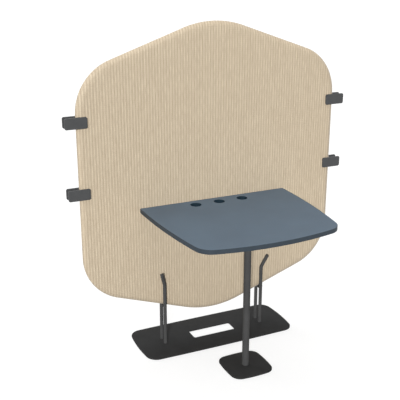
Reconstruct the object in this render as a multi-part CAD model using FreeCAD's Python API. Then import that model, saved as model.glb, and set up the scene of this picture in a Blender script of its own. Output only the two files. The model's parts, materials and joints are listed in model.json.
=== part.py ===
import FreeCAD, Part
import math
import os

# Desk with privacy screen. An upholstered screen stands on two saddles between four rods of a
# base plate. A small desk hangs on the screen by two brackets, and one column carries its front.
# Four clips grip the screen's upright edges and can take the edge of a neighbouring screen.
#
# Sizes are in millimetres: X to the right, Y to the back, Z up, the floor at z = 0.
# Pieces are made with the screen's middle plane at y = 0. Each is then moved along Y, so that the
# origin lies on the floor under the middle of the whole object.

V = FreeCAD.Vector

# Screen
SCREEN_WIDTH = 1300.0
SCREEN_HEIGHT = 1400.0
SCREEN_THICKNESS = 30.0
SCREEN_FLOOR_GAP = 143.0
SCREEN_SLOPE_DEG = 19.3
APEX_RADIUS = 450.0
SHOULDER_RADIUS = 240.0
EDGE_LAND = 0.5
COVER_THICKNESS = 1.2
CORE_THICKNESS = 12.0
CORE_INSET = 14.0

# Base plate under the screen
BASE_LENGTH = 797.0
BASE_WIDTH = 311.0
BASE_THICKNESS = 6.0
BASE_END_BOW_RADIUS = 900.0
BASE_SIDE_BOW_RADIUS = 15500.0
BASE_CORNER_RADIUS = 55.0
SLOT_LENGTH = 226.0
SLOT_WIDTH = 75.0
SLOT_CORNER_RADIUS = 9.0
PLATE_EDGE_RADIUS = 1.5

# Rods and saddles that hold the screen
ROD_DIAMETER = 17.0
ROD_INSET = 135.5
ROD_BEND_HEIGHT = 319.0
ROD_BEND_RADIUS = 40.0
ROD_TIP_LENGTH = 75.0
ROD_TIP_LEAN_DEG = 25.0
ROD_TIP_TURN_DEG = 45.0
ROD_END_RADIUS = 4.0
ROD_TO_SCREEN = 0.5
SADDLE_WIDTH = 22.0
SADDLE_THICKNESS = 5.0
WELD_GAP = 0.2

# Clips on the screen's upright edges
CLIP_LENGTH = 100.0
CLIP_HEIGHT = 50.0
CLIP_JAW_THICKNESS = 6.5
CLIP_WEB_THICKNESS = 4.0
CLIP_WEB_SETBACK = 3.0
CLIP_CORNER_RADIUS = 8.0
CLIP_EDGE_RADIUS = 1.5
CLIP_DROP = 4.5
CLIP_PITCH = 320.5

# Desk top
DESK_WIDTH = 750.0
DESK_DEPTH = 618.0
DESK_HEIGHT = 720.0
DESK_THICKNESS = 20.0
DESK_TO_SCREEN = 1.5
DESK_SIDE_STRAIGHT = 58.0
DESK_SIDE_BOW_RADIUS = 2730.0
DESK_FRONT_BOW_RADIUS = 1230.0
DESK_FRONT_CORNER_RADIUS = 80.0
DESK_BACK_CORNER_RADIUS = 3.0
EDGE_BAND_THICKNESS = 1.5
EDGE_BAND_ROUNDING = 0.8
CABLE_HOLE_DIAMETER = 52.0
CABLE_HOLE_PITCH = 120.0
CABLE_HOLE_SETBACK = 56.0

# Brackets that hang the desk on the screen
BRACKET_SPACING = 400.0
BRACKET_WIDTH = 40.0
BRACKET_LEG = 70.0
BRACKET_THICKNESS = 4.0
BRACKET_INNER_RADIUS = 3.0
BRACKET_HOLE_NEAR = 26.0
BRACKET_HOLE_FAR = 54.0
SPACER_DIAMETER = 12.0
INSERT_DIAMETER = 9.0
INSERT_LENGTH = 10.0

# Column and foot of the desk
COLUMN_DIAMETER = 32.0
COLUMN_WALL = 2.0
COLUMN_SETBACK = 346.0
FLANGE_SIZE = 110.0
FLANGE_THICKNESS = 4.0
FLANGE_CORNER_RADIUS = 15.0
FLANGE_SCREW_SPACING = 80.0
FOOT_SIZE = 212.0
FOOT_THICKNESS = 6.0
FOOT_BOW_RADIUS = 650.0
FOOT_CORNER_RADIUS = 46.0
PLUG_HEIGHT = 24.0

# Floor pads under both plates
PAD_THICKNESS = 2.0
PAD_DIAMETER = 24.0
BASE_PAD_INSET = 60.0
FOOT_PAD_INSET = 42.0

# Fasteners: shank and head diameters, lengths under or over the head
ROD_SCREW_DIAMETER = 8.0
ROD_SCREW_LENGTH = 24.0
FOOT_BOLT_DIAMETER = 10.0
FOOT_BOLT_LENGTH = 25.0
BRACKET_BOLT_DIAMETER = 6.0
BRACKET_BOLT_LENGTH = 22.0
WOOD_SCREW_DIAMETER = 4.0
WOOD_SCREW_LENGTH = 16.0
HEAD_TO_SHANK = 2.0
PAN_HEAD_HEIGHT = 3.0
PAN_HEAD_ROUNDING = 1.0
SCREW_END_GAP = 2.0

# Clearances
SOFT_GAP = 0.3
THREAD_GAP = 0.1
HOLE_GAP = 0.3
TINY = 0.001

# Derived places
SCREEN_HALF = SCREEN_THICKNESS / 2
SCREEN_MIDDLE = SCREEN_FLOOR_GAP + SCREEN_HEIGHT / 2
SCREEN_SLOPE = math.radians(SCREEN_SLOPE_DEG)
SCREEN_SHARP_HALF = SCREEN_HEIGHT / 2 + APEX_RADIUS * (1 / math.cos(SCREEN_SLOPE) - 1)
SHARP_SHOULDER = SCREEN_MIDDLE + SCREEN_SHARP_HALF - SCREEN_WIDTH / 2 * math.tan(SCREEN_SLOPE)
STRAIGHT_EDGE_TOP = SHARP_SHOULDER - SHOULDER_RADIUS * math.tan((math.pi / 2 - SCREEN_SLOPE) / 2)
BASE_TOP = PAD_THICKNESS + BASE_THICKNESS
FOOT_TOP = PAD_THICKNESS + FOOT_THICKNESS
ROD_RADIUS = ROD_DIAMETER / 2
ROD_X = BASE_LENGTH / 2 - ROD_INSET
ROD_Y = SCREEN_HALF + ROD_TO_SCREEN + ROD_RADIUS
DESK_BACK = -SCREEN_HALF - DESK_TO_SCREEN
DESK_UNDERSIDE = DESK_HEIGHT - DESK_THICKNESS
BRACKET_FACE = -SCREEN_HALF
COLUMN_Y = DESK_BACK - COLUMN_SETBACK
FLANGE_UNDERSIDE = DESK_UNDERSIDE - FLANGE_THICKNESS
CLIP_X = SCREEN_WIDTH / 2 + SOFT_GAP + CLIP_WEB_THICKNESS / 2
CLIP_JAW_Y = SCREEN_HALF + SOFT_GAP
UPPER_CLIP_MIDDLE = STRAIGHT_EDGE_TOP - CLIP_DROP - CLIP_HEIGHT / 2
LOWER_CLIP_MIDDLE = UPPER_CLIP_MIDDLE - CLIP_PITCH
DESK_FRONT = DESK_BACK - DESK_DEPTH
ORIGIN_SHIFT = -(DESK_FRONT + BASE_WIDTH / 2) / 2
LEFT_RIGHT = (("left", -1), ("right", 1))
FRONT_REAR = (("front", -1), ("rear", 1))


def unit(vector):
    """The vector's direction, one long."""
    return vector * (1 / vector.Length)


def line(start, end):
    return Part.LineSegment(start, end).toShape()


def arc(centre, start, end):
    """Arc of under half a circle about a centre."""
    radius = (start - centre).Length
    middle = centre + unit((start - centre) + (end - centre)) * radius
    return Part.Arc(start, middle, end).toShape()


def rounded_wire(points, radii):
    """Closed outline through corner points, each rounded with its own radius."""
    arcs = []
    for index, corner in enumerate(points):
        before = unit(points[index - 1] - corner)
        after = unit(points[(index + 1) % len(points)] - corner)
        half_angle = before.getAngle(after) / 2
        reach = radii[index] / math.tan(half_angle)
        centre = corner + unit(before + after) * (radii[index] / math.sin(half_angle))
        arcs.append((centre, corner + before * reach, corner + after * reach))
    edges = []
    for index, (centre, start, end) in enumerate(arcs):
        edges.append(arc(centre, start, end))
        edges.append(line(end, arcs[(index + 1) % len(arcs)][1]))
    return Part.Wire(edges)


def rounded_rectangle(length, width, radius, centre, z):
    """Level rectangle with round corners."""
    half_x = length / 2
    half_y = width / 2
    signs = ((1, 1), (-1, 1), (-1, -1), (1, -1))
    points = [V(centre.x + sx * half_x, centre.y + sy * half_y, z) for sx, sy in signs]
    return rounded_wire(points, [radius] * len(points))


def circles_meet(centre_a, radius_a, centre_b, radius_b, towards):
    """Where two circles in one level plane cross, on the side that lies towards a direction."""
    gap = centre_b - centre_a
    along = (gap.Length ** 2 + radius_a ** 2 - radius_b ** 2) / (2 * gap.Length)
    across = math.sqrt(radius_a ** 2 - along ** 2)
    direction = unit(gap)
    side = V(-direction.y, direction.x, 0)
    choices = [centre_a + direction * along + side * (sign * across) for sign in (1, -1)]
    return max(choices, key=lambda point: point.dot(towards))


def mirrored(point, sx, sy):
    """The point on the chosen side of the X and Y axes."""
    return V(point.x * sx, point.y * sy, point.z)


def bowed_plate(length, width, end_radius, side_radius, corner_radius, bottom, thickness):
    """Plate whose four sides bow outwards, with round corners and an eased upper edge."""
    end_centre = V(length / 2 - end_radius, 0, bottom)
    side_centre = V(0, width / 2 - side_radius, bottom)
    corner = circles_meet(end_centre, end_radius - corner_radius,
                          side_centre, side_radius - corner_radius, V(1, 1, 0))
    on_end = end_centre + unit(corner - end_centre) * end_radius
    on_side = side_centre + unit(corner - side_centre) * side_radius
    edges = []
    for sx, sy in ((1, 1), (-1, 1), (-1, -1), (1, -1)):
        edges.append(arc(mirrored(corner, sx, sy),
                         mirrored(on_end, sx, sy), mirrored(on_side, sx, sy)))
    for sign in (1, -1):
        edges.append(arc(mirrored(end_centre, sign, 1),
                         mirrored(on_end, sign, -1), mirrored(on_end, sign, 1)))
        edges.append(arc(mirrored(side_centre, 1, sign),
                         mirrored(on_side, 1, sign), mirrored(on_side, -1, sign)))
    outline = Part.Wire(Part.__sortEdges__(edges))
    plate = Part.Face(outline).extrude(V(0, 0, thickness))
    return plate.makeFillet(PLATE_EDGE_RADIUS, level_edges(plate, bottom + thickness))


def level_edges(shape, z):
    """The shape's edges that lie in the level plane at z."""
    return [edge for edge in shape.Edges
            if abs(edge.BoundBox.ZMin - z) < TINY and abs(edge.BoundBox.ZMax - z) < TINY]


def upright_edges(shape, y):
    """The shape's edges that lie in the upright plane at y."""
    return [edge for edge in shape.Edges
            if abs(edge.BoundBox.YMin - y) < TINY and abs(edge.BoundBox.YMax - y) < TINY]


def cylinder(diameter, start, end):
    """Round bar from point to point."""
    return Part.makeCylinder(diameter / 2, (end - start).Length, start, end - start)


def countersunk_screw(diameter, length, x, y):
    """Flat-headed screw driven upwards, with its head flush in a plate's underside."""
    head = diameter * HEAD_TO_SHANK / 2
    foot = V(x, y, PAD_THICKNESS)
    cone = Part.makeCone(head, diameter / 2, head - diameter / 2, foot)
    return one_solid(cone.fuse(cylinder(diameter, foot, foot + V(0, 0, length))))


def countersunk_hole(diameter, depth, x, y):
    """Room for a countersunk screw, a little wider than the screw itself."""
    wide = diameter + 2 * HOLE_GAP
    head = diameter * HEAD_TO_SHANK / 2 + HOLE_GAP
    foot = V(x, y, PAD_THICKNESS)
    cone = Part.makeCone(head, wide / 2, head - wide / 2, foot)
    return cone.fuse(cylinder(wide, foot, foot + V(0, 0, depth)))


def pan_screw(diameter, length, seat, direction):
    """Round-headed screw: its head stands on the seat, its shank runs along the direction."""
    head = cylinder(diameter * HEAD_TO_SHANK, seat - direction * PAN_HEAD_HEIGHT, seat)
    crown = [edge for edge in head.Edges if (edge.CenterOfMass - seat).Length > PAN_HEAD_HEIGHT - TINY
             and edge.Curve.TypeId == "Part::GeomCircle"]
    head = head.makeFillet(PAN_HEAD_ROUNDING, crown)
    return one_solid(head.fuse(cylinder(diameter, seat, seat + direction * length)))


def one_solid(shape):
    """The single refined solid of a joined or cut shape."""
    solids = shape.removeSplitter().Solids
    if len(solids) != 1:
        raise ValueError(f"expected one solid, found {len(solids)}")
    return solids[0]


def screen_outline(inset):
    """The screen's outline in its middle plane, moved inwards: a hexagon with round corners."""
    half = SCREEN_WIDTH / 2 - inset
    apex_radius = APEX_RADIUS - inset
    shoulder_radius = SHOULDER_RADIUS - inset
    apex = SCREEN_HEIGHT / 2 - inset + apex_radius * (1 / math.cos(SCREEN_SLOPE) - 1)
    shoulder = apex - half * math.tan(SCREEN_SLOPE)
    upper_half = [(half, shoulder), (0, apex), (-half, shoulder)]
    lower_half = [(-half, -shoulder), (0, -apex), (half, -shoulder)]
    points = [V(x, 0, SCREEN_MIDDLE + z) for x, z in upper_half + lower_half]
    return rounded_wire(points, [shoulder_radius, apex_radius, shoulder_radius] * 2)


def screen_half(inset, side):
    """One round-edged half of the screen, from its middle plane to its face, moved inwards."""
    depth = SCREEN_HALF - inset
    slab = Part.Face(screen_outline(inset)).extrude(V(0, side * depth, 0))
    return slab.makeFillet(depth - EDGE_LAND, upright_edges(slab, side * depth))


def core_body(inset):
    """Board in the middle of the screen, with its edge this far inside the outline."""
    face = Part.Face(screen_outline(inset))
    face.translate(V(0, -CORE_THICKNESS / 2, 0))
    return face.extrude(V(0, CORE_THICKNESS, 0))


def bracket_holes():
    """Where the bolts of both brackets enter the screen: x and z."""
    places = []
    for name, sign in LEFT_RIGHT:
        for drop in (BRACKET_HOLE_NEAR, BRACKET_HOLE_FAR):
            places.append((sign * BRACKET_SPACING / 2, DESK_UNDERSIDE - drop))
    return places


def make_screen():
    core_face = -CORE_THICKNESS / 2
    core = core_body(CORE_INSET)
    pocket = core_body(CORE_INSET - SOFT_GAP)
    inserts = []
    spacers = []
    passages = []
    for x, z in bracket_holes():
        mouth = V(x, core_face, z)
        depth = V(0, INSERT_LENGTH, 0)
        bore = cylinder(BRACKET_BOLT_DIAMETER + 2 * THREAD_GAP, mouth, mouth + depth)
        inserts.append(cylinder(INSERT_DIAMETER, mouth, mouth + depth).cut(bore))
        core = core.cut(cylinder(INSERT_DIAMETER + 2 * THREAD_GAP, mouth, mouth + depth))
        seat = V(x, BRACKET_FACE, z)
        bore = cylinder(BRACKET_BOLT_DIAMETER + 2 * HOLE_GAP, mouth, seat)
        spacers.append(cylinder(SPACER_DIAMETER, mouth, seat).cut(bore))
        passages.append(cylinder(SPACER_DIAMETER + 2 * SOFT_GAP, mouth, seat))
    save("screen_core_board", core)
    save("screen_threaded_inserts", *inserts)
    save("screen_bolt_spacers", *spacers)
    for name, side in FRONT_REAR:
        cover = screen_half(0, side).cut(screen_half(COVER_THICKNESS, side))
        foam = screen_half(COVER_THICKNESS + SOFT_GAP, side).cut(pocket)
        if name == "front":
            cover = cover.cut(passages)
            foam = foam.cut(passages)
        save(f"screen_{name}_cover", cover)
        save(f"screen_{name}_foam", foam)


def rod_places():
    """Name, left or right sign, and front or rear sign of each rod."""
    return [(f"{row}_{hand}_rod", sx, sy) for row, sy in FRONT_REAR for hand, sx in LEFT_RIGHT]


def pad(place):
    """Round pad between the floor and a plate."""
    return cylinder(PAD_DIAMETER, place, place + V(0, 0, PAD_THICKNESS))


def make_base():
    plate = bowed_plate(BASE_LENGTH, BASE_WIDTH, BASE_END_BOW_RADIUS, BASE_SIDE_BOW_RADIUS,
                        BASE_CORNER_RADIUS, PAD_THICKNESS, BASE_THICKNESS)
    slot = rounded_rectangle(SLOT_LENGTH, SLOT_WIDTH, SLOT_CORNER_RADIUS, V(0, 0, 0), PAD_THICKNESS)
    plate = plate.cut(Part.Face(slot).extrude(V(0, 0, BASE_THICKNESS)))
    screws = []
    for name, sx, sy in rod_places():
        x = sx * ROD_X
        y = sy * ROD_Y
        plate = plate.cut(countersunk_hole(ROD_SCREW_DIAMETER, BASE_THICKNESS, x, y))
        screws.append(countersunk_screw(ROD_SCREW_DIAMETER, ROD_SCREW_LENGTH, x, y))
    save("base_plate", plate)
    save("rod_screws", *screws)
    reach_x = BASE_LENGTH / 2 - BASE_PAD_INSET
    reach_y = BASE_WIDTH / 2 - BASE_PAD_INSET
    places = [V(sx * reach_x, sy * reach_y, 0) for sx in (-1, 0, 1) for sy in (-1, 1)]
    save("base_plate_pads", *[pad(place) for place in places])


def make_rod(name, sx, sy):
    """Round bar that stands on the base plate and leans away from the screen at its top."""
    foot = V(sx * ROD_X, sy * ROD_Y, BASE_TOP)
    bend = V(foot.x, foot.y, ROD_BEND_HEIGHT)
    lean = math.radians(ROD_TIP_LEAN_DEG)
    turn = math.radians(ROD_TIP_TURN_DEG)
    away = V(sx * math.cos(turn), sy * math.sin(turn), 0)
    tip_direction = away * math.sin(lean) + V(0, 0, math.cos(lean))
    reach = ROD_BEND_RADIUS * math.tan(lean / 2)
    start = bend - V(0, 0, reach)
    end = bend + tip_direction * reach
    centre = start + away * ROD_BEND_RADIUS
    tip_end = bend + tip_direction * ROD_TIP_LENGTH
    path = Part.Wire([line(foot, start), arc(centre, start, end), line(end, tip_end)])
    section = Part.Wire(Part.makeCircle(ROD_RADIUS, foot, V(0, 0, 1)))
    rod = path.makePipeShell([section], True, False)
    tip = max(rod.Edges, key=lambda edge: edge.CenterOfMass.z)
    rod = rod.makeFillet(ROD_END_RADIUS, [tip])
    depth = ROD_SCREW_LENGTH - BASE_THICKNESS + SCREW_END_GAP
    rod = rod.cut(cylinder(ROD_SCREW_DIAMETER + 2 * THREAD_GAP, foot, foot + V(0, 0, depth)))
    save(name, rod)


def make_saddle(name, sx):
    """Flat bar across two rods, sloped like the screen's lower edge, that the screen stands on."""
    x = sx * ROD_X
    edge_z = SCREEN_MIDDLE - SCREEN_SHARP_HALF + ROD_X * math.tan(SCREEN_SLOPE)
    along = V(math.cos(SCREEN_SLOPE), 0, sx * math.sin(SCREEN_SLOPE))
    down = V(sx * math.sin(SCREEN_SLOPE), 0, -math.cos(SCREEN_SLOPE))
    top = V(x, -ROD_Y, edge_z) + down * SOFT_GAP
    low = top + down * SADDLE_THICKNESS
    half = along * (SADDLE_WIDTH / 2)
    outline = Part.makePolygon([top - half, top + half, low + half, low - half, top - half])
    bar = Part.Face(outline).extrude(V(0, 2 * ROD_Y, 0))
    for sy in (-1, 1):
        foot = V(x, sy * ROD_Y, BASE_TOP)
        bar = bar.cut(cylinder(ROD_DIAMETER + 2 * WELD_GAP, foot, V(foot.x, foot.y, ROD_BEND_HEIGHT)))
    save(name, bar)


def make_clip(name, sx, middle_z):
    """Clip of two jaws on a web: one pair of jaws grips the screen, the other is free."""
    x = sx * CLIP_X
    half_x = CLIP_LENGTH / 2
    half_z = CLIP_HEIGHT / 2
    web_half = half_z - CLIP_WEB_SETBACK
    body = Part.makeBox(CLIP_WEB_THICKNESS, 2 * (CLIP_JAW_Y + CLIP_EDGE_RADIUS), 2 * web_half,
                        V(x - CLIP_WEB_THICKNESS / 2, -CLIP_JAW_Y - CLIP_EDGE_RADIUS, middle_z - web_half))
    for sy in (-1, 1):
        inner = sy * CLIP_JAW_Y
        signs = ((1, 1), (-1, 1), (-1, -1), (1, -1))
        corners = [V(x + cx * half_x, inner, middle_z + cz * half_z) for cx, cz in signs]
        jaw = Part.Face(rounded_wire(corners, [CLIP_CORNER_RADIUS] * len(corners)))
        jaw = jaw.extrude(V(0, sy * CLIP_JAW_THICKNESS, 0))
        jaw = jaw.makeFillet(CLIP_EDGE_RADIUS, upright_edges(jaw, inner + sy * CLIP_JAW_THICKNESS))
        body = body.fuse(jaw)
    save(name, body)


def desk_outline(inset, z):
    """The desk top's outline, moved inwards: straight back, bowed sides and front, round corners."""
    half = DESK_WIDTH / 2 - inset
    back = DESK_BACK - inset
    back_radius = DESK_BACK_CORNER_RADIUS - inset
    side_centre = V(DESK_WIDTH / 2 - DESK_SIDE_BOW_RADIUS, DESK_BACK - DESK_SIDE_STRAIGHT, z)
    front_centre = V(0, DESK_FRONT + DESK_FRONT_BOW_RADIUS, z)
    corner = circles_meet(side_centre, DESK_SIDE_BOW_RADIUS - DESK_FRONT_CORNER_RADIUS,
                          front_centre, DESK_FRONT_BOW_RADIUS - DESK_FRONT_CORNER_RADIUS, V(1, -1, 0))
    on_side = side_centre + unit(corner - side_centre) * (DESK_SIDE_BOW_RADIUS - inset)
    on_front = front_centre + unit(corner - front_centre) * (DESK_FRONT_BOW_RADIUS - inset)
    on_back = V(half - back_radius, back, z)
    under_back = V(half, back - back_radius, z)
    back_centre = V(half - back_radius, back - back_radius, z)
    bow_start = V(half, side_centre.y, z)
    edges = [line(mirrored(on_back, -1, 1), on_back), arc(front_centre, on_front, mirrored(on_front, -1, 1))]
    for sx in (1, -1):
        edges.append(arc(mirrored(back_centre, sx, 1), mirrored(on_back, sx, 1), mirrored(under_back, sx, 1)))
        edges.append(line(mirrored(under_back, sx, 1), mirrored(bow_start, sx, 1)))
        edges.append(arc(mirrored(side_centre, sx, 1), mirrored(bow_start, sx, 1), mirrored(on_side, sx, 1)))
        edges.append(arc(mirrored(corner, sx, 1), mirrored(on_side, sx, 1), mirrored(on_front, sx, 1)))
    return Part.Wire(Part.__sortEdges__(edges))


def flange_screw_places():
    """Where the flange is screwed to the desk top: x and y."""
    half = FLANGE_SCREW_SPACING / 2
    return [(sx * half, COLUMN_Y + sy * half) for sx in (-1, 1) for sy in (-1, 1)]


def bracket_screw_places():
    """Where the brackets are screwed to the desk top: x and y."""
    return [(sign * BRACKET_SPACING / 2, BRACKET_FACE - reach)
            for name, sign in LEFT_RIGHT for reach in (BRACKET_HOLE_NEAR, BRACKET_HOLE_FAR)]


def make_desk_top():
    upward = V(0, 0, DESK_THICKNESS)
    board = Part.Face(desk_outline(EDGE_BAND_THICKNESS, DESK_UNDERSIDE)).extrude(upward)
    whole = Part.Face(desk_outline(0, DESK_UNDERSIDE)).extrude(upward)
    rims = level_edges(whole, DESK_HEIGHT) + level_edges(whole, DESK_UNDERSIDE)
    band = whole.makeFillet(EDGE_BAND_ROUNDING, rims).cut(board)
    save("desk_edge_band", band)
    for index in (-1, 0, 1):
        place = V(index * CABLE_HOLE_PITCH, DESK_BACK - CABLE_HOLE_SETBACK, DESK_UNDERSIDE)
        board = board.cut(cylinder(CABLE_HOLE_DIAMETER, place, place + upward))
    depth = WOOD_SCREW_LENGTH - FLANGE_THICKNESS + SCREW_END_GAP
    for x, y in flange_screw_places() + bracket_screw_places():
        place = V(x, y, DESK_UNDERSIDE)
        board = board.cut(cylinder(WOOD_SCREW_DIAMETER + 2 * THREAD_GAP, place, place + V(0, 0, depth)))
    save("desk_top", board)


def make_brackets():
    bolts = []
    for x, z in bracket_holes():
        seat = V(x, BRACKET_FACE - BRACKET_THICKNESS, z)
        bolts.append(pan_screw(BRACKET_BOLT_DIAMETER, BRACKET_BOLT_LENGTH, seat, V(0, 1, 0)))
    save("bracket_bolts", *bolts)
    screws = []
    for x, y in bracket_screw_places():
        seat = V(x, y, DESK_UNDERSIDE - BRACKET_THICKNESS)
        screws.append(pan_screw(WOOD_SCREW_DIAMETER, WOOD_SCREW_LENGTH, seat, V(0, 0, 1)))
    save("bracket_wood_screws", *screws)
    for name, sign in LEFT_RIGHT:
        x = sign * BRACKET_SPACING / 2 - BRACKET_WIDTH / 2
        upright = Part.makeBox(BRACKET_WIDTH, BRACKET_THICKNESS, BRACKET_LEG,
                               V(x, BRACKET_FACE - BRACKET_THICKNESS, DESK_UNDERSIDE - BRACKET_LEG))
        level = Part.makeBox(BRACKET_WIDTH, BRACKET_LEG, BRACKET_THICKNESS,
                             V(x, BRACKET_FACE - BRACKET_LEG, DESK_UNDERSIDE - BRACKET_THICKNESS))
        bracket = one_solid(upright.fuse(level))
        inside = V(0, BRACKET_FACE - BRACKET_THICKNESS, DESK_UNDERSIDE - BRACKET_THICKNESS)
        bend = [edge for edge in bracket.Edges if abs(edge.CenterOfMass.y - inside.y) < TINY
                and abs(edge.CenterOfMass.z - inside.z) < TINY]
        bracket = bracket.makeFillet(BRACKET_INNER_RADIUS, bend)
        for hole_x, z in bracket_holes():
            start = V(hole_x, BRACKET_FACE - BRACKET_THICKNESS, z)
            end = V(hole_x, BRACKET_FACE, z)
            bracket = bracket.cut(cylinder(BRACKET_BOLT_DIAMETER + 2 * HOLE_GAP, start, end))
        for hole_x, y in bracket_screw_places():
            start = V(hole_x, y, DESK_UNDERSIDE - BRACKET_THICKNESS)
            end = V(hole_x, y, DESK_UNDERSIDE)
            bracket = bracket.cut(cylinder(WOOD_SCREW_DIAMETER + 2 * HOLE_GAP, start, end))
        save(f"{name}_rear_bracket", bracket)


def make_column():
    foot = V(0, COLUMN_Y, FOOT_TOP)
    bore = COLUMN_DIAMETER - 2 * COLUMN_WALL
    top = V(0, COLUMN_Y, FLANGE_UNDERSIDE)
    save("column_tube", cylinder(COLUMN_DIAMETER, foot, top).cut(cylinder(bore, foot, top)))
    outline = rounded_rectangle(FLANGE_SIZE, FLANGE_SIZE, FLANGE_CORNER_RADIUS, top, FLANGE_UNDERSIDE)
    flange = Part.Face(outline).extrude(V(0, 0, FLANGE_THICKNESS))
    screws = []
    for x, y in flange_screw_places():
        seat = V(x, y, FLANGE_UNDERSIDE)
        flange = flange.cut(cylinder(WOOD_SCREW_DIAMETER + 2 * HOLE_GAP, seat, V(x, y, DESK_UNDERSIDE)))
        screws.append(pan_screw(WOOD_SCREW_DIAMETER, WOOD_SCREW_LENGTH, seat, V(0, 0, 1)))
    save("column_top_flange", flange)
    save("flange_wood_screws", *screws)
    plug_top = foot + V(0, 0, PLUG_HEIGHT)
    plug = cylinder(bore - 2 * THREAD_GAP, foot, plug_top)
    save("column_foot_plug", plug.cut(cylinder(FOOT_BOLT_DIAMETER + 2 * THREAD_GAP, foot, plug_top)))


def make_foot():
    plate = bowed_plate(FOOT_SIZE, FOOT_SIZE, FOOT_BOW_RADIUS, FOOT_BOW_RADIUS,
                        FOOT_CORNER_RADIUS, PAD_THICKNESS, FOOT_THICKNESS)
    plate.translate(V(0, COLUMN_Y, 0))
    save("foot_plate", plate.cut(countersunk_hole(FOOT_BOLT_DIAMETER, FOOT_THICKNESS, 0, COLUMN_Y)))
    save("foot_bolt", countersunk_screw(FOOT_BOLT_DIAMETER, FOOT_BOLT_LENGTH, 0, COLUMN_Y))
    reach = FOOT_SIZE / 2 - FOOT_PAD_INSET
    places = [V(sx * reach, COLUMN_Y + sy * reach, 0) for sx in (-1, 1) for sy in (-1, 1)]
    save("foot_plate_pads", *[pad(place) for place in places])


def save(name, *shapes):
    """Write one node: each shape is one solid, moved so that the origin is under the middle."""
    solids = [one_solid(shape) for shape in shapes]
    node = solids[0] if len(solids) == 1 else Part.makeCompound(solids)
    node.translate(V(0, ORIGIN_SHIFT, 0))
    node.exportStep(f"parts/{name}.step")
    print(f"{name}: {len(solids)} solid, {node.Volume / 1000:.1f} cm3, valid {node.isValid()}")


os.makedirs("parts", exist_ok=True)
make_screen()
make_base()
for rod_name, rod_sx, rod_sy in rod_places():
    make_rod(rod_name, rod_sx, rod_sy)
for hand, hand_sign in LEFT_RIGHT:
    make_saddle(f"{hand}_saddle", hand_sign)
    make_clip(f"upper_{hand}_clip", hand_sign, UPPER_CLIP_MIDDLE)
    make_clip(f"lower_{hand}_clip", hand_sign, LOWER_CLIP_MIDDLE)
make_desk_top()
make_brackets()
make_column()
make_foot()
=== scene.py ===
# %% [markdown]
# A small desk hung on a tall upholstered screen. The rigid pieces come from the CAD frame with
# their true sizes, so this lesson only dresses them: it models the soft cover of the screen and
# the small hardware, and gives every piece a finish. All lengths are in metres.

# %% Load the frame
import bpy
import json
import math
from itertools import product
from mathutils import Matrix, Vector


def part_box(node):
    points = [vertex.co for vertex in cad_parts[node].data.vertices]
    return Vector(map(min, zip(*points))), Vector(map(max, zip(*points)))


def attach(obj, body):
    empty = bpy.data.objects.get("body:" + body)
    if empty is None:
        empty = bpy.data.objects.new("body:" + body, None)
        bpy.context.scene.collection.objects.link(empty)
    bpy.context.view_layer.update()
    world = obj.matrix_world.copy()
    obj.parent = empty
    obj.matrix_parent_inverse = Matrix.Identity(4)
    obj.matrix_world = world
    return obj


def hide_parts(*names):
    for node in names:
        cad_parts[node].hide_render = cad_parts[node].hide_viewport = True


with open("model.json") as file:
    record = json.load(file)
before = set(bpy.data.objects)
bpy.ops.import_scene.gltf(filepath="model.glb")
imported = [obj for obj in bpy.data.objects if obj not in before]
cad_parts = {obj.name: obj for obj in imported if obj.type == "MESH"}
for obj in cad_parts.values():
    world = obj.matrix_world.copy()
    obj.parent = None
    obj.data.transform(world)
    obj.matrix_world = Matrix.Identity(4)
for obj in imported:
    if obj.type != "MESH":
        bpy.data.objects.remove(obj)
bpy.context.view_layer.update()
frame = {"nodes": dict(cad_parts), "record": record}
nodes = frame["nodes"]

# %% [markdown]
# The picture was taken a little to the left of the desk and from above a standing person's eyes.
# A camera can be placed by eye, but here its place and its field of view were worked out from the
# vanishing points of the desk and the screen, so they are plain numbers.

# %% Camera
VIEW_ANGLE = math.radians(29.91)
VIEW_DEPTH = 200
CAMERA_PLACE = (-1.4695, -2.8189, 1.8515)
CAMERA_DOWN = math.radians(18.69)
CAMERA_RIGHT = math.radians(24.65)

camera_turn = (math.pi / 2 - CAMERA_DOWN, 0, -CAMERA_RIGHT)
bpy.ops.object.select_all(action="DESELECT")
bpy.ops.object.camera_add(location=CAMERA_PLACE, rotation=camera_turn)
camera = bpy.context.object
camera.data.lens_unit = "FOV"
camera.data.angle = VIEW_ANGLE
camera.data.clip_end = VIEW_DEPTH
bpy.context.scene.camera = camera
print("camera lens:", round(camera.data.lens, 2), "mm")

# %% [markdown]
# Every finish below is a small network of shader nodes. Three helpers keep it readable: one turns
# the colour that a paint chart gives, a hex value in sRGB, to the linear light that shaders
# use, one links or sets the inputs of a node, and one adds a node with its settings and inputs.

# %% Helpers for finishes
MILLIMETRE = 0.001
FULL_TURN = 2 * math.pi


def linear(hex_colour):
    """An sRGB hex colour as linear red, green, blue and alpha."""
    channels = [int(hex_colour[place:place + 2], 16) / 255 for place in (1, 3, 5)]
    return [c / 12.92 if c <= 0.04045 else ((c + 0.055) / 1.055) ** 2.4 for c in channels] + [1.0]


def set_inputs(tree, node, inputs):
    """Link each input of a node to a socket or set it to a value, by its name or number."""
    for name, value in inputs.items():
        if isinstance(value, bpy.types.NodeSocket):
            tree.links.new(value, node.inputs[name])
        else:
            node.inputs[name].default_value = value


def add_node(tree, kind, inputs=None, **settings):
    """Add a node, set its properties, and link or set its inputs."""
    node = tree.nodes.new(kind)
    for name, value in settings.items():
        setattr(node, name, value)
    set_inputs(tree, node, inputs or {})
    return node


def new_finish(name):
    """An empty material with its node tree, shader and Object coordinates."""
    finish = bpy.data.materials.new(name)
    finish.use_nodes = True
    tree = finish.node_tree
    shader = tree.nodes["Principled BSDF"]
    place = add_node(tree, "ShaderNodeTexCoord").outputs["Object"]
    return finish, tree, shader, place


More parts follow.
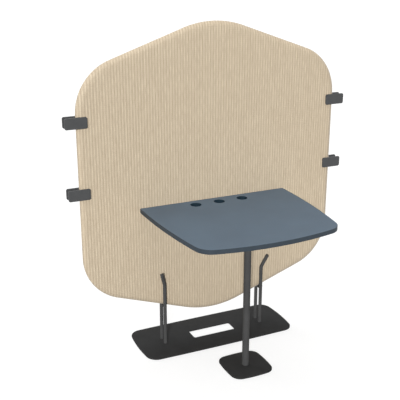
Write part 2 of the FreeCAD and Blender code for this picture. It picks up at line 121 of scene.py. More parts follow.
def cells_per_metre(size_mm):
    """Scale of a noise whose grains are this many millimetres wide."""
    return 1 / (size_mm * MILLIMETRE)


print("half of the sRGB scale is", round(linear("#808080")[0], 3), "in linear light")

# %% [markdown]
# The background of a product picture is white, but a sky as bright as that would light the object
# from all sides. So the sky is plain white and the floor glows only to the camera and to
# reflections, while what the sky sheds on the object is a faint even light.

# %% Sky and floor
WHITE = linear("#ffffff")
SKY_LIGHT = 0.15
FLOOR_SIZE = 60.0
FLOOR_GAP = 0.0002
FLOOR_COLOUR = "#909090"
FLOOR_GLOW = 0.75


def seen_directly(tree):
    """One where a ray comes from the camera, a reflection or through glass, and nought elsewhere."""
    path = add_node(tree, "ShaderNodeLightPath").outputs
    seen = path["Is Camera Ray"]
    for other in ("Is Glossy Ray", "Is Transmission Ray"):
        seen = add_node(tree, "ShaderNodeMath", {0: seen, 1: path[other]}, operation="MAXIMUM").outputs[0]
    return seen


def build_sky():
    """A faint even light all round that the camera and reflections see as plain white."""
    world = bpy.data.worlds.new("soft_ceiling")
    bpy.context.scene.world = world
    world.use_nodes = True
    tree = world.node_tree
    tree.nodes.clear()
    light = add_node(tree, "ShaderNodeBackground", {"Color": WHITE, "Strength": SKY_LIGHT})
    white = add_node(tree, "ShaderNodeBackground", {"Color": WHITE, "Strength": 1.0})
    mixed = add_node(tree, "ShaderNodeMixShader",
                     {0: seen_directly(tree), 1: light.outputs[0], 2: white.outputs[0]})
    add_node(tree, "ShaderNodeOutputWorld", {"Surface": mixed.outputs[0]})


def build_floor():
    """A grey floor just under the feet that glows where the camera or a reflection sees it."""
    bpy.ops.object.select_all(action="DESELECT")
    bpy.ops.mesh.primitive_plane_add(size=FLOOR_SIZE, location=(0, 0, -FLOOR_GAP))
    floor = bpy.context.object
    floor.name = "floor"
    finish, tree, shader = new_finish("pale_studio_floor")[:3]
    glow = add_node(tree, "ShaderNodeMath", {0: seen_directly(tree), 1: FLOOR_GLOW}, operation="MULTIPLY")
    set_inputs(tree, shader, {"Base Color": linear(FLOOR_COLOUR), "Roughness": 0.9,
                              "Emission Color": WHITE, "Emission Strength": glow.outputs[0]})
    floor.data.materials.append(finish)


bpy.context.scene.view_settings.view_transform = "Standard"
build_sky()
build_floor()
print("sky of", SKY_LIGHT, "over a floor of", FLOOR_SIZE, "m")

# %% [markdown]
# A product picture like this is lit almost without shadows. A low light from where the camera
# stands does most of it, because the shadows that it throws lie behind the pieces. A very wide one
# overhead brightens the upper edge of the screen and the desk, where the screen takes half of it
# away from the rear. A low one behind keeps the rear readable, and makes no glint, so it draws no
# bright rim on the rods. They are far away, so the light is the same all over the floor.

# %% Lights
LIGHTS = {
    "front_light": {"height": 18, "turn": -29, "strength": 2.93, "width": 6, "glossy": True},
    "ceiling_light": {"height": 88, "turn": 180, "strength": 1.75, "width": 75, "glossy": True},
    "rear_light": {"height": 9, "turn": 210, "strength": 1.8, "width": 25, "glossy": False},
}


def build_light(name, height, turn, strength, width, glossy):
    """A far light at a height over the horizon, turned about the object from its front, in degrees."""
    aim = (math.radians(90 - height), 0, math.radians(turn))
    bpy.ops.object.light_add(type="SUN", rotation=aim)
    light = bpy.context.object
    light.name = name
    light.data.energy = strength
    light.data.angle = math.radians(width)
    light.visible_glossy = glossy


for light_name, settings in LIGHTS.items():
    build_light(light_name, **settings)
print("lights:", ", ".join(LIGHTS))

# %% [markdown]
# The screen is a board wrapped in foam and a ribbed upholstery fabric, with a soft round edge and
# a seam where the front and rear covers meet. A plain block would show none of that. Its outline
# is a tall rounded hexagon, made of straight lines and arcs, so the distance of any point from
# the edge can be worked out.

# %% Outline of the screen
SLOPE = math.radians(19.3)
APEX_RADIUS = 0.450
SHOULDER_RADIUS = 0.240

front_low, front_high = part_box("screen_front_cover")
rear_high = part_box("screen_rear_cover")[1]
HALF_WIDTH = (front_high.x - front_low.x) / 2
HALF_HEIGHT = (front_high.z - front_low.z) / 2
HALF_THICKNESS = (rear_high.y - front_low.y) / 2
MIDDLE_Y = (rear_high.y + front_low.y) / 2
MIDDLE_Z = (front_high.z + front_low.z) / 2

apex_centre = HALF_HEIGHT - APEX_RADIUS
sharp_apex = apex_centre + APEX_RADIUS / math.cos(SLOPE)
shoulder_x = HALF_WIDTH - SHOULDER_RADIUS
shoulder_z = (sharp_apex - HALF_WIDTH * math.tan(SLOPE)
              - SHOULDER_RADIUS * math.tan((math.pi / 2 - SLOPE) / 2))
print("straight edge:", round(2 * shoulder_z, 4), "m of", round(2 * HALF_HEIGHT, 4))


def outline_height(x):
    """Height of the outline over the screen's middle at x, on the upper half."""
    x = min(abs(x), HALF_WIDTH)
    if x < APEX_RADIUS * math.sin(SLOPE):
        return apex_centre + math.sqrt(APEX_RADIUS ** 2 - x ** 2)
    if x < shoulder_x + SHOULDER_RADIUS * math.sin(SLOPE):
        return sharp_apex - x * math.tan(SLOPE)
    return shoulder_z + math.sqrt(max(SHOULDER_RADIUS ** 2 - (x - shoulder_x) ** 2, 0))


def edge_distance(x, z):
    """Distance of a point from the outline, and the outline's outward direction there."""
    across, up = abs(x), abs(z)
    beyond_x, beyond_z = across - shoulder_x, up - shoulder_z
    above_apex = up - apex_centre
    if beyond_z <= 0:
        distance, normal = HALF_WIDTH - across, (1, 0)
    elif beyond_x > 0 and beyond_z * math.tan(SLOPE) <= beyond_x:
        reach = math.hypot(beyond_x, beyond_z)
        distance, normal = SHOULDER_RADIUS - reach, (beyond_x / reach, beyond_z / reach)
    elif across <= above_apex * math.tan(SLOPE):
        reach = math.hypot(across, above_apex)
        distance, normal = APEX_RADIUS - reach, (across / reach, above_apex / reach)
    else:
        distance = (sharp_apex - up) * math.cos(SLOPE) - across * math.sin(SLOPE)
        normal = (math.sin(SLOPE), math.cos(SLOPE))
    return max(distance, 0), (math.copysign(normal[0], x), math.copysign(normal[1], z))


# %% [markdown]
# Foam under a pulled cover turns over from the flat face to the seam in a curve between a bevel and
# a quarter circle. A bevel modifier would only round the edge evenly. So a grid of vertices is put
# on the padded form, as a sculptor would push it, and the rear is the mirrored front.

# %% Form of the pad
EDGE_REACH = 22 * MILLIMETRE
EDGE_CURVE = 1.4
MIRROR_MERGE = 0.05 * MILLIMETRE
DOUBLES_MERGE = 0.01 * MILLIMETRE


def padded_edge(distance):
    """Share of the full thickness at a distance from the seam, and how far the face is turned there."""
    inward = 1 - min(distance / EDGE_REACH, 1)
    filled = 1 - inward ** EDGE_CURVE
    rise = HALF_THICKNESS * inward ** (EDGE_CURVE - 1)
    run = EDGE_REACH * filled ** (1 - 1 / EDGE_CURVE)
    return filled ** (1 / EDGE_CURVE), math.atan2(rise, run)


def build_pad(name, columns, rows_at, surface):
    """A closed pad: a grid from -1 to 1 whose vertices go to a surface, mirrored to the rear."""
    last_column, last_row = len(columns) - 1, len(rows_at[0]) - 1
    bpy.ops.object.select_all(action="DESELECT")
    bpy.ops.mesh.primitive_grid_add(x_subdivisions=last_column, y_subdivisions=last_row, size=2)
    pad = bpy.context.object
    pad.name = name
    for vertex in pad.data.vertices:
        column = round((vertex.co.x + 1) / 2 * last_column)
        row = round((vertex.co.y + 1) / 2 * last_row)
        vertex.co = surface(columns[column], rows_at[column][row])
    mirror = pad.modifiers.new("rear_half", "MIRROR")
    mirror.use_axis = (False, True, False)
    mirror.merge_threshold = MIRROR_MERGE
    bpy.ops.object.modifier_apply(modifier=mirror.name)
    bpy.ops.object.mode_set(mode="EDIT")
    bpy.ops.mesh.select_all(action="SELECT")
    bpy.ops.mesh.remove_doubles(threshold=DOUBLES_MERGE)
    bpy.ops.mesh.normals_make_consistent(inside=False)
    bpy.ops.object.mode_set(mode="OBJECT")
    return pad


print("edge turned over", round(EDGE_REACH / MILLIMETRE), "mm of the face,",
      round(HALF_THICKNESS / MILLIMETRE, 1), "mm deep")

# %% [markdown]
# Foam under a stretched cover swells a little wherever nothing presses on it. It is held along the
# seam, under the clips, and where the brackets and the saddles touch it. The CAD frame tells where
# these pieces are.

# %% Where the pad is held
SEAM_NEAR = 0.1 * MILLIMETRE
HELD_BY = ["upper_left_clip", "upper_right_clip", "lower_left_clip", "lower_right_clip",
           "left_rear_bracket", "right_rear_bracket", "left_saddle", "right_saddle"]
held_boxes = [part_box(name) for name in HELD_BY]


def is_held(x, z):
    """Whether a clip, a bracket or a saddle presses on this point of the pad, or the seam holds it."""
    if edge_distance(x, z)[0] < SEAM_NEAR:
        return True
    return any(low.x <= x <= high.x and low.z <= z + MIDDLE_Z <= high.z for low, high in held_boxes)


print("held by", len(held_boxes), "pieces and the seam")

# %% [markdown]
# To find how far the foam swells, a coarse closed pad that starts slightly thinner is blown up by a
# short cloth simulation with those places pinned. The swelling is capped, so that it never passes
# the face of the CAD model.

# %% Swelling of the pad
SWELL = 1.2 * MILLIMETRE
PAD_COLUMNS = 66
PAD_ROWS = 72
PAD_PRESSURE = 0.15
PAD_FRAMES = 20


def thin_point(x, z):
    """The face of the pad before it swells."""
    share = padded_edge(edge_distance(x, z)[0])[0]
    return Vector((x, -(HALF_THICKNESS - SWELL) * share, z))


def pad_cell(x, z):
    """Place of a point in the columns and rows of the coarse pad."""
    return (x / HALF_WIDTH + 1) / 2 * PAD_COLUMNS, (z / outline_height(x) + 1) / 2 * PAD_ROWS


def even_places(half, count):
    """Places in even steps from one end to the other."""
    return [half * (2 * step / count - 1) for step in range(count + 1)]


def simulate_swelling():
    """How far each point of the coarse pad moves outwards, by its column and row."""
    columns = even_places(HALF_WIDTH, PAD_COLUMNS)
    rows_at = [even_places(outline_height(x), PAD_ROWS) for x in columns]
    pad = build_pad("swelling_pad", columns, rows_at, thin_point)
    held = pad.vertex_groups.new(name="held")
    held.add([v.index for v in pad.data.vertices if is_held(v.co.x, v.co.z)], 1.0, "REPLACE")
    before = [vertex.co.copy() for vertex in pad.data.vertices]
    cloth = pad.modifiers.new("foam_pressure", "CLOTH")
    cloth.settings.use_pressure = True
    cloth.settings.uniform_pressure_force = PAD_PRESSURE
    cloth.settings.effector_weights.gravity = 0
    cloth.settings.vertex_group_mass = held.name
    for step in range(1, PAD_FRAMES + 1):
        bpy.context.scene.frame_set(step)
    after = pad.evaluated_get(bpy.context.evaluated_depsgraph_get()).data.vertices
    moved = {}
    for place, vertex in zip(before, after):
        if place.y <= 0:
            column, row = pad_cell(place.x, place.z)
            moved[round(column), round(row)] = min(max(place.y - vertex.co.y, 0), SWELL)
    bpy.data.objects.remove(pad)
    bpy.context.scene.frame_set(1)
    return moved


swelled = simulate_swelling()
print("swelling in mm, mean:", round(sum(swelled.values()) / len(swelled) / MILLIMETRE, 2),
      "most:", round(max(swelled.values()) / MILLIMETRE, 2))

# %% [markdown]
# The cover follows the swelled pad and adds its ribs. The ribs of the real fabric are about 7 mm
# apart, too fine for a picture of this size, where they merge in pairs. They are drawn twice as
# wide here, so that they show as they do in the picture. They fade out where the cover is stretched
# over the edge, and the seam draws it in to a shallow valley.

# %% Form of the ribs
RIB_WIDTH = 13.4 * MILLIMETRE
RIB_DEPTH = 1.0 * MILLIMETRE
SEAM_DEPTH = 2.0 * MILLIMETRE
SEAM_REACH = 2.0 * MILLIMETRE

flat_half = HALF_WIDTH - EDGE_REACH
rib_count = round(2 * flat_half / RIB_WIDTH)
rib_pitch = 2 * flat_half / rib_count
print("ribs:", rib_count, "of", round(rib_pitch / MILLIMETRE, 2), "mm")


def swell_at(x, z):
    """How far the pad has swelled at a point, between the four nearest points of the coarse pad."""
    across, up = pad_cell(x, z)
    column, row = min(int(across), PAD_COLUMNS - 1), min(int(up), PAD_ROWS - 1)
    right, above = across - column, up - row
    lower = (1 - right) * swelled[column, row] + right * swelled[column + 1, row]
    upper = (1 - right) * swelled[column, row + 1] + right * swelled[column + 1, row + 1]
    return (1 - above) * lower + above * upper


def ribbed_point(x, z):
    """The swelled face over a point of the flat outline, with its ribs and the valley of its seam."""
    distance, normal = edge_distance(x, z)
    share, tilt = padded_edge(distance)
    depth = (HALF_THICKNESS - SWELL) * share + swell_at(x, z)
    valley = 0.5 - 0.5 * math.cos(FULL_TURN * x / rib_pitch)
    rib = RIB_DEPTH * valley * min(distance / EDGE_REACH, 1)
    seam = SEAM_DEPTH * max(1 - depth / SEAM_REACH, 0) ** 2
    inward = rib * math.sin(tilt) + seam
    return Vector((x - inward * normal[0], -depth + rib * math.cos(tilt), z - inward * normal[1]))


# %% [markdown]
# The cover is again a closed pad, but a fine one. Its grid has four columns to each rib, and its
# rows and columns are closer near the edge, where the foam turns over. It takes the place of the
# two covers and the foam under them.

# %% Ribbed cover of the screen
COLUMNS_PER_RIB = 4
ROWS_BETWEEN_EDGES = 44
EDGE_TURNS = [math.radians(angle) for angle in (0, 5, 13, 23, 35, 48, 62, 76, 90)]

edge_offsets = [EDGE_REACH * (1 - math.cos(turn)) for turn in EDGE_TURNS]
column_count = rib_count * COLUMNS_PER_RIB


def spread(low, high, offsets, count):
    """Places from low to high: the offsets at both ends, and even steps between them."""
    first, last = low + offsets[-1], high - offsets[-1]
    even = [first + (last - first) * step / count for step in range(1, count)]
    return [low + o for o in offsets] + even + [high - o for o in reversed(offsets)]


def build_screen_cover():
    """The cover as one piece, from the places of its columns and rows."""
    columns = spread(-HALF_WIDTH, HALF_WIDTH, edge_offsets, column_count)
    row_offsets = [offset / math.cos(SLOPE) for offset in edge_offsets]
    rows_at = []
    for x in columns:
        top = outline_height(x)
        rows_at.append(spread(-top, top, row_offsets, ROWS_BETWEEN_EDGES))
    cover = build_pad("screen_cover", columns, rows_at, ribbed_point)
    bpy.ops.object.mode_set(mode="EDIT")
    bpy.ops.mesh.select_all(action="SELECT")
    bpy.ops.transform.translate(value=(0, MIDDLE_Y, MIDDLE_Z))
    bpy.ops.object.mode_set(mode="OBJECT")
    bpy.ops.object.shade_smooth()
    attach(cover, "stand")
    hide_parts("screen_front_cover", "screen_rear_cover", "screen_front_foam", "screen_rear_foam")
    return cover


screen_cover = build_screen_cover()
print("columns between the edges:", column_count, "faces:", len(screen_cover.data.polygons))

# %% [markdown]
# The fabric is a wool-like knit of sand-coloured yarn. Its ribs are already in the mesh, and the
# finish also paints their shading: painted shade in the valleys and painted light on the crests.
# It adds what is smaller: the rows of stitches across the ribs, and short upright dashes where that
# painted rib shading is deeper and the yarn lighter. Each of these has its share in how light the
# yarn is. Real stitches are about 3 mm high and the yarn about 1 mm thick, so both are drawn coarser
# to show. A low gloss and a pale sheen of fuzz, where the surface turns away, brighten the upper edge.

# %% Ribbed knit
STITCH_HEIGHT = 9.0
YARN_WIDTH = 2.2
DASH_WIDTH = 8.0
DASH_LENGTH = 40.0
MOTTLE_SIZE = 45.0
LEAST_SHARE = 0.23
RIB_SHADE_SHARE = 0.45
STITCH_SHARE = 0.03
YARN_SHARE = 0.25
DASH_SHARE = 0.25
MOTTLE_SHARE = 0.05
STITCH_RISE = 0.5


def wave(tree, along, length):
    """A pattern that goes from crest to crest over a length, from 1 to -1 and back."""
    angle = add_node(tree, "ShaderNodeMath", {0: along, 1: FULL_TURN / length}, operation="MULTIPLY")
    return add_node(tree, "ShaderNodeMath", {0: angle.outputs[0]}, operation="COSINE").outputs[0]


def ribbed_knit():
    """Sand-coloured yarn with painted light on the rib crests, painted shade in the valleys, lighter yarn in
    the dashes, and rows of stitches.
    """
    finish, tree, shader, place = new_finish("ribbed_wool_knit")
    parts = add_node(tree, "ShaderNodeSeparateXYZ", {0: place}).outputs
    # The wave across the ribs paints shade in their valleys and light on their crests.
    rib = wave(tree, parts["X"], rib_pitch)
    row = wave(tree, parts["Z"], STITCH_HEIGHT * MILLIMETRE)
    yarn = add_node(tree, "ShaderNodeTexNoise", {"Vector": place, "Scale": cells_per_metre(YARN_WIDTH),
                                                 "Detail": 3.0, "Roughness": 0.6}).outputs["Fac"]
    mottle = add_node(tree, "ShaderNodeTexNoise", {"Vector": place, "Scale": cells_per_metre(MOTTLE_SIZE),
                                                   "Detail": 2.0}).outputs["Fac"]
    drawn_out = add_node(tree, "ShaderNodeVectorMath", {0: place, 1: (1, 1, DASH_WIDTH / DASH_LENGTH)},
                         operation="MULTIPLY").outputs[0]
    dash = add_node(tree, "ShaderNodeTexNoise", {"Vector": drawn_out, "Scale": cells_per_metre(DASH_WIDTH),
                                                 "Detail": 2.0}).outputs["Fac"]
    # The dashes set how deep the painted rib shade is.
    rib_shade_depth = add_node(tree, "ShaderNodeMapRange", {"Value": dash, "From Min": 0.35, "From Max": 0.65,
                                                   "To Max": RIB_SHADE_SHARE}).outputs[0]
    shares = ((row, STITCH_SHARE), (yarn, YARN_SHARE), (dash, DASH_SHARE), (mottle, MOTTLE_SHARE))
    lightness = add_node(tree, "ShaderNodeMath", {0: rib, 1: rib_shade_depth, 2: LEAST_SHARE},
                         operation="MULTIPLY_ADD")
    for pattern, share in shares:
        lightness = add_node(tree, "ShaderNodeMath", {0: pattern, 1: share, 2: lightness.outputs[0]},
                             operation="MULTIPLY_ADD")
    lightness.use_clamp = True
    # The darker colour carries the painted shade of the rib valleys as well as the yarn's own darker tone.
    colour = add_node(tree, "ShaderNodeMix", {"Factor": lightness.outputs[0], "A": linear("#ac9a82"),
                                              "B": linear("#d3c4ab")}, data_type="RGBA")
    weave = add_node(tree, "ShaderNodeMath", {0: row, 1: STITCH_RISE, 2: yarn}, operation="MULTIPLY_ADD")
    bump = add_node(tree, "ShaderNodeBump", {"Height": weave.outputs[0], "Strength": 0.6,
                                             "Distance": 0.6 * MILLIMETRE})
    set_inputs(tree, shader, {"Base Color": colour.outputs["Result"], "Normal": bump.outputs[0],
                              "Roughness": 0.6, "Specular IOR Level": 0.4,
                              "Sheen Weight": 0.4, "Sheen Roughness": 0.4})
    return finish


screen_cover.data.materials.clear()
screen_cover.data.materials.append(ribbed_knit())
print("finish:", screen_cover.data.materials[0].name)

# %% [markdown]
# Powder coat is paint melted on as dust. It leaves a fine pebbled skin that scatters the light, so
# its gloss is low and a little uneven. The grains are near half a millimetre on the real thing, and
# are drawn coarser to show. The plates are a blacker coat than the rods and the column.

# %% Powder-coated steel
COAT_GRAIN = 1.6
COAT_CLOUD = 60.0
COAT_UNEVEN = 0.06
GRAIN_SHARE = 0.5


def powder_coat(name, dark, light, roughness, specular):
    """Two close shades of paint in faint clouds, with a pebbled skin."""
    finish, tree, shader, place = new_finish(name)
    grain = add_node(tree, "ShaderNodeTexNoise", {"Vector": place, "Scale": cells_per_metre(COAT_GRAIN),
                                                  "Detail": 2.0, "Roughness": 0.5}).outputs["Fac"]
    cloud = add_node(tree, "ShaderNodeTexNoise", {"Vector": place, "Scale": cells_per_metre(COAT_CLOUD),
                                                  "Detail": 3.0}).outputs["Fac"]
    both = add_node(tree, "ShaderNodeMath", {0: grain, 1: GRAIN_SHARE, 2: cloud}, operation="MULTIPLY_ADD")
    share = add_node(tree, "ShaderNodeMapRange", {"Value": both.outputs[0], "From Min": 0.45,
                                                  "From Max": 1.05})
    colour = add_node(tree, "ShaderNodeMix", {"Factor": share.outputs[0], "A": linear(dark),
                                              "B": linear(light)}, data_type="RGBA")
    gloss = add_node(tree, "ShaderNodeMapRange", {"Value": cloud, "To Min": roughness - COAT_UNEVEN,
                                                  "To Max": roughness + COAT_UNEVEN})
    bump = add_node(tree, "ShaderNodeBump", {"Height": grain, "Strength": 0.35, "Distance": 0.3 * MILLIMETRE})
    set_inputs(tree, shader, {"Base Color": colour.outputs["Result"], "Roughness": gloss.outputs[0],
                              "Normal": bump.outputs[0], "Specular IOR Level": specular})
    return finish


plate_coat = powder_coat("black_powder_coat", "#323232", "#3a3a3a", roughness=0.7, specular=0.05)
rod_coat = powder_coat("graphite_powder_coat", "#424242", "#4d4d4d", roughness=0.78, specular=0.15)
print("coats:", plate_coat.name, rod_coat.name)

# %% [markdown]
# The clips are moulded from a stiff plastic such as polyamide, in a mould that was etched to a
# leather-fine grain. The edge of the desk is a strip of ABS, rolled to the same fine grain. That
# grain is a few tenths of a millimetre wide on the real thing, and is drawn coarser to show. Both
# are one colour all through, with the faint clouds that the plastic leaves as it flows.

# %% Moulded and extruded plastic
MOULD_GRAIN = 1.2
FLOW_SIZE = 25.0
MOULD_UNEVEN = 0.05
PLASTIC_IOR = 1.53


def moulded_plastic(name, dark, light, roughness):
    """Two close shades of plastic in faint clouds, with a fine grain."""
    finish, tree, shader, place = new_finish(name)
    grain = add_node(tree, "ShaderNodeTexVoronoi",
                     {"Vector": place, "Scale": cells_per_metre(MOULD_GRAIN)}).outputs["Distance"]
    flow = add_node(tree, "ShaderNodeTexNoise", {"Vector": place, "Scale": cells_per_metre(FLOW_SIZE),
                                                 "Detail": 2.0}).outputs["Fac"]
    colour = add_node(tree, "ShaderNodeMix", {"Factor": flow, "A": linear(dark), "B": linear(light)},
                      data_type="RGBA")
    gloss = add_node(tree, "ShaderNodeMapRange", {"Value": grain, "To Min": roughness + MOULD_UNEVEN,
                                                  "To Max": roughness - MOULD_UNEVEN})
    bump = add_node(tree, "ShaderNodeBump", {"Height": grain, "Strength": 0.3, "Distance": 0.2 * MILLIMETRE})
    set_inputs(tree, shader, {"Base Color": colour.outputs["Result"], "Roughness": gloss.outputs[0],
                              "Normal": bump.outputs[0], "IOR": PLASTIC_IOR, "Specular IOR Level": 0.3})
    return finish


clip_plastic = moulded_plastic("etched_polyamide", "#3f4041", "#494a4b", roughness=0.58)
edge_plastic = moulded_plastic("abs_edge_strip", "#2b353d", "#323c45", roughness=0.6)
print("plastics:", clip_plastic.name, edge_plastic.name)

# %% [markdown]
# The desk board is faced with a matte laminate in slate blue. Paper under a clear resin gives it
# a very fine two-tone speckle and a velvety gloss that changes slightly over the sheet. The
# speckle is under half a millimetre on a real sheet, and is drawn coarser to show. The walls of
# the cable holes get painted shade, a darker colour that a mask round each hole puts there.

# %% Slate laminate
SPECKLE_SIZE = 1.8
SHEET_SIZE = 180.0
SPECKLE_SHARE = 0.7
WALL_NEAR = 0.2 * MILLIMETRE

holes = [mount for mount in frame["record"]["mounts"] if mount["kind"] == "bore"]
hole_radius = holes[0]["dims"]["r_mm"] * MILLIMETRE


def hole_shade_mask(tree, place):
    """One on the walls of the cable holes, where shade is painted, and nought on the rest of the desk."""
    level = add_node(tree, "ShaderNodeVectorMath", {0: place, 1: (1, 1, 0)}, operation="MULTIPLY").outputs[0]
    apart = []
    for hole in holes:
        middle = (hole["pos_m"][0], hole["pos_m"][1], 0)
        apart.append(add_node(tree, "ShaderNodeVectorMath", {0: level, 1: middle},
                              operation="DISTANCE").outputs["Value"])
    nearest = apart[0]
    for other in apart[1:]:
        nearest = add_node(tree, "ShaderNodeMath", {0: nearest, 1: other}, operation="MINIMUM").outputs[0]
    return add_node(tree, "ShaderNodeMath", {0: nearest, 1: hole_radius + WALL_NEAR},
                    operation="LESS_THAN").outputs[0]


def slate_laminate():
    """Speckled slate blue, with painted shade and a lower gloss on the walls of the cable holes."""
    finish, tree, shader, place = new_finish("matte_slate_laminate")
    speckle = add_node(tree, "ShaderNodeTexNoise", {"Vector": place, "Scale": cells_per_metre(SPECKLE_SIZE),
                                                    "Detail": 4.0, "Roughness": 0.7}).outputs["Fac"]
    sheet = add_node(tree, "ShaderNodeTexNoise", {"Vector": place, "Scale": cells_per_metre(SHEET_SIZE),
                                                  "Detail": 2.0}).outputs["Fac"]
    both = add_node(tree, "ShaderNodeMath", {0: speckle, 1: SPECKLE_SHARE, 2: sheet},
                    operation="MULTIPLY_ADD")
    share = add_node(tree, "ShaderNodeMapRange", {"Value": both.outputs[0], "From Min": 0.55,
                                                  "From Max": 1.15})
    slate = add_node(tree, "ShaderNodeMix", {"Factor": share.outputs[0], "A": linear("#526170"),
                                             "B": linear("#5b6c7b")}, data_type="RGBA")
    painted_hole_shade = hole_shade_mask(tree, place)
    # The walls of the cable holes take a dark colour: painted shade for the recess.
    colour = add_node(tree, "ShaderNodeMix", {"Factor": painted_hole_shade, "A": slate.outputs["Result"],
                                              "B": linear("#1a2a34")}, data_type="RGBA")
    gloss = add_node(tree, "ShaderNodeMapRange", {"Value": sheet, "To Min": 0.52, "To Max": 0.64})
    bump = add_node(tree, "ShaderNodeBump", {"Height": speckle, "Strength": 0.15,
                                             "Distance": 0.1 * MILLIMETRE})
    shine = add_node(tree, "ShaderNodeMapRange", {"Value": painted_hole_shade, "To Min": 0.25, "To Max": 0.1})
    set_inputs(tree, shader, {"Base Color": colour.outputs["Result"], "Roughness": gloss.outputs[0],
                              "Normal": bump.outputs[0], "Specular IOR Level": shine.outputs[0]})
    return finish


laminate = slate_laminate()
print("laminate:", laminate.name, "with", len(holes), "holes of", 2 * hole_radius, "m")

# %% [markdown]
# The pieces that are mostly out of sight still get the finish of the real ones: zinc-plated
# fasteners, brass inserts, rubber pads and a pressed-chip core board. Then every CAD node takes the
# finish that its material slot in the record names.

# %% Hidden materials
HAZE_SIZE = 2.5
METAL_UNEVEN = 0.1


def plated_metal(name, dark, light, roughness):
    """Bare metal with a haze that varies its shade and gloss."""
    finish, tree, shader, place = new_finish(name)
    haze = add_node(tree, "ShaderNodeTexNoise", {"Vector": place, "Scale": cells_per_metre(HAZE_SIZE),
                                                 "Detail": 4.0}).outputs["Fac"]
    colour = add_node(tree, "ShaderNodeMix", {"Factor": haze, "A": linear(dark), "B": linear(light)},
                      data_type="RGBA")
    gloss = add_node(tree, "ShaderNodeMapRange", {"Value": haze, "To Min": roughness - METAL_UNEVEN,
                                                  "To Max": roughness + METAL_UNEVEN})
    set_inputs(tree, shader, {"Base Color": colour.outputs["Result"], "Roughness": gloss.outputs[0],
                              "Metallic": 1.0})
    return finish


def grained_matte(name, dark, light, grain_mm, roughness):
    """Dull grains that are darker in their middles."""
    finish, tree, shader, place = new_finish(name)
    grain = add_node(tree, "ShaderNodeTexVoronoi",
                     {"Vector": place, "Scale": cells_per_metre(grain_mm)}).outputs["Distance"]
    colour = add_node(tree, "ShaderNodeMix", {"Factor": grain, "A": linear(dark), "B": linear(light)},
                      data_type="RGBA")
    bump = add_node(tree, "ShaderNodeBump", {"Height": grain, "Strength": 0.3, "Distance": 0.3 * MILLIMETRE})
    set_inputs(tree, shader, {"Base Color": colour.outputs["Result"], "Normal": bump.outputs[0],
                              "Roughness": roughness})
    return finish


finishes = {
    "plate_black": plate_coat,
    "rod_graphite": rod_coat,
    "clip_plastic": clip_plastic,
    "desk_laminate": laminate,
    "edge_band": edge_plastic,
    "fastener_steel": plated_metal("zinc_plated_steel", "#9a9c9f", "#c3c5c8", roughness=0.38),
    "insert_brass": plated_metal("turned_brass", "#b08d4a", "#d0ad68", roughness=0.32),
    "pad_rubber": grained_matte("black_rubber", "#141414", "#202020", grain_mm=1.5, roughness=0.8),
    "core_board": grained_matte("pressed_chip_board", "#8d7350", "#b89a70", grain_mm=4.0, roughness=0.85),
    "foam": grained_matte("open_cell_foam", "#d8d2c0", "#e8e3d4", grain_mm=2.0, roughness=0.95),
    "ribbed_fabric": screen_cover.data.materials[0],
}
for subpart in frame["record"]["subparts"]:
    node = nodes[subpart["node"]]
    node.data.materials.clear()
    node.data.materials.append(finishes[subpart["material_slot"]])

# %% [markdown]
# Under the desk, two brackets and a flange are held by screws. In the CAD frame these are plain
# pins with plain heads, while a real head has a rounded rim. One screw of each kind is turned from
# a cylinder: its rim is bevelled, and its shank is extruded from an inset of the seat. It stands
# with its seat at the origin and its shank upwards.

# %% Turned screws
HEAD_SIDES = 48
SAME_LEVEL = 0.01 * MILLIMETRE
RIM_ROUNDING = 0.55
RIM_STEPS = 4
END_CHAMFER = 0.2
BOLT = {"head_radius": 6 * MILLIMETRE, "head_height": 3 * MILLIMETRE,
        "shank_radius": 3 * MILLIMETRE, "shank_length": 22 * MILLIMETRE}
WOOD_SCREW = {"head_radius": 4 * MILLIMETRE, "head_height": 3 * MILLIMETRE,
              "shank_radius": 2 * MILLIMETRE, "shank_length": 16 * MILLIMETRE}


def select_level(piece, height):
    """Select the vertices at one height, and leave the piece in edit mode."""
    bpy.ops.object.mode_set(mode="EDIT")
    bpy.ops.mesh.select_mode(type="VERT")
    bpy.ops.mesh.select_all(action="DESELECT")
    bpy.ops.object.mode_set(mode="OBJECT")
    for vertex in piece.data.vertices:
        vertex.select = abs(vertex.co.z - height) < SAME_LEVEL
    bpy.ops.object.mode_set(mode="EDIT")


def turned_screw(head_radius, head_height, shank_radius, shank_length):
    """A round head with a domed rim under its seat, and a shank with a chamfered end over it."""
    bpy.ops.object.select_all(action="DESELECT")
    bpy.ops.mesh.primitive_cylinder_add(vertices=HEAD_SIDES, radius=head_radius, depth=head_height,
                                        location=(0, 0, -head_height / 2))
    screw = bpy.context.object
    bpy.ops.object.transform_apply(location=True)
    select_level(screw, -head_height)
    bpy.ops.mesh.bevel(offset=RIM_ROUNDING * head_height, segments=RIM_STEPS, affect="EDGES")
    select_level(screw, 0)
    bpy.ops.mesh.inset(thickness=head_radius - shank_radius)
    chamfer = END_CHAMFER * shank_radius
    for rise in (shank_length - chamfer, chamfer):
        bpy.ops.mesh.extrude_region_move(TRANSFORM_OT_translate={"value": (0, 0, rise)})
    bpy.ops.transform.resize(value=(1 - END_CHAMFER, 1 - END_CHAMFER, 1))
    bpy.ops.object.mode_set(mode="OBJECT")
    return screw


bolt = turned_screw(**BOLT)
wood_screw = turned_screw(**WOOD_SCREW)
print("turned faces:", len(bolt.data.polygons), len(wood_screw.data.polygons))

# %% [markdown]
# A head has a recess for the key that turns it: six-sided on the bolts, a cross on the wood screws.
# It could be inset and pushed in, but the round face has no corners to start from, so a shape of
# the key is cut out of the head by a Boolean.

# %% Key recesses
KEY_WIDTH = 4 * MILLIMETRE
KEY_DEPTH = 1.8 * MILLIMETRE
CROSS_WIDTH = 4.6 * MILLIMETRE
CROSS_ARM = 1.15 * MILLIMETRE
CROSS_DEPTH = 1.65 * MILLIMETRE


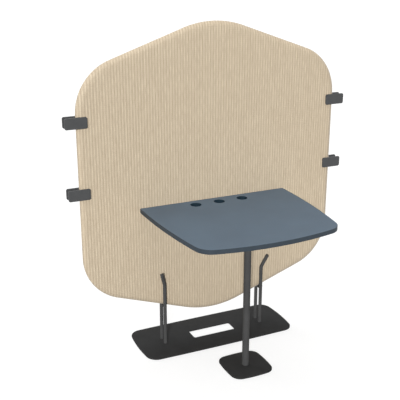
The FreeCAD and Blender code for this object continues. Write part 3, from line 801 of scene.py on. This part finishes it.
def cut_with(piece, cutter):
    """Take the cutter out of the piece, and remove the cutter."""
    bpy.ops.object.select_all(action="DESELECT")
    piece.select_set(True)
    bpy.context.view_layer.objects.active = piece
    cut = piece.modifiers.new("recess", "BOOLEAN")
    cut.operation = "DIFFERENCE"
    cut.object = cutter
    bpy.ops.object.modifier_apply(modifier=cut.name)
    bpy.data.objects.remove(cutter)


def cut_six_sided(screw, head_height):
    """Cut a six-sided recess; half of the cutter's height is in the head."""
    bpy.ops.mesh.primitive_cylinder_add(vertices=6, radius=KEY_WIDTH / math.sqrt(3), depth=2 * KEY_DEPTH,
                                        location=(0, 0, -head_height))
    cut_with(screw, bpy.context.object)


def cut_cross(screw, head_height):
    """Cut a cross with two blocks; half of their height is in the head."""
    for along, across in ((CROSS_WIDTH, CROSS_ARM), (CROSS_ARM, CROSS_WIDTH)):
        bpy.ops.mesh.primitive_cube_add(size=1, scale=(along, across, 2 * CROSS_DEPTH),
                                        location=(0, 0, -head_height))
        cut_with(screw, bpy.context.object)


cut_six_sided(bolt, BOLT["head_height"])
cut_cross(wood_screw, WOOD_SCREW["head_height"])
print("faces with recess:", len(bolt.data.polygons), len(wood_screw.data.polygons))

# %% [markdown]
# The rest are copies, each with its own mesh, turned and put on their seats. The four screws of a
# CAD node stand at the corners of its box, so their seats are found a head's size inside it.

# %% Screws on their seats
SHARP_ANGLE = math.radians(35)
SEAT_DIGITS = 4
ALONG_Y, ALONG_Z = 1, 2
UPRIGHT = (0, 0, 0)
LYING = (-math.pi / 2, 0, 0)


def corner_seats(node_name, screw, axis):
    """Seats of a node's four screws, to a tenth of a millimetre, because its box is of a faceted mesh."""
    low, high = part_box(node_name)
    head = Vector([screw["head_radius"]] * 3)
    head[axis] = screw["head_height"]
    first, last = low + head, high - head
    last[axis] = first[axis]
    ways = [sorted({round(first[way], SEAT_DIGITS), round(last[way], SEAT_DIGITS)}) for way in range(3)]
    return list(product(*ways))


def place_screws(screw, name, node_name, seats, turn):
    """Copies of a screw at its seats, joined to one piece that takes the place of a CAD node."""
    copies = []
    for seat in seats:
        copy = screw.copy()
        copy.data = screw.data.copy()
        bpy.context.collection.objects.link(copy)
        copy.rotation_euler = turn
        copy.location = seat
        copies.append(copy)
    bpy.ops.object.select_all(action="DESELECT")
    for copy in copies:
        copy.select_set(True)
    bpy.context.view_layer.objects.active = copies[0]
    bpy.ops.object.transform_apply(location=True, rotation=True, scale=True)
    bpy.ops.object.join()
    piece = bpy.context.object
    piece.name = name
    bpy.ops.object.shade_smooth_by_angle(angle=SHARP_ANGLE)
    piece.data.materials.clear()
    piece.data.materials.append(finishes["fastener_steel"])
    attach(piece, "stand")
    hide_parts(node_name)
    print(name + ":", len(seats), "screws,", len(piece.data.polygons), "faces")


bolt_seats = corner_seats("bracket_bolts", BOLT, ALONG_Y)
place_screws(bolt, "bracket_bolt_set", "bracket_bolts", bolt_seats, LYING)
for set_name, node_name in (("bracket_screw_set", "bracket_wood_screws"),
                            ("flange_screw_set", "flange_wood_screws")):
    screw_seats = corner_seats(node_name, WOOD_SCREW, ALONG_Z)
    place_screws(wood_screw, set_name, node_name, screw_seats, UPRIGHT)
for pattern in (bolt, wood_screw):
    bpy.data.objects.remove(pattern)
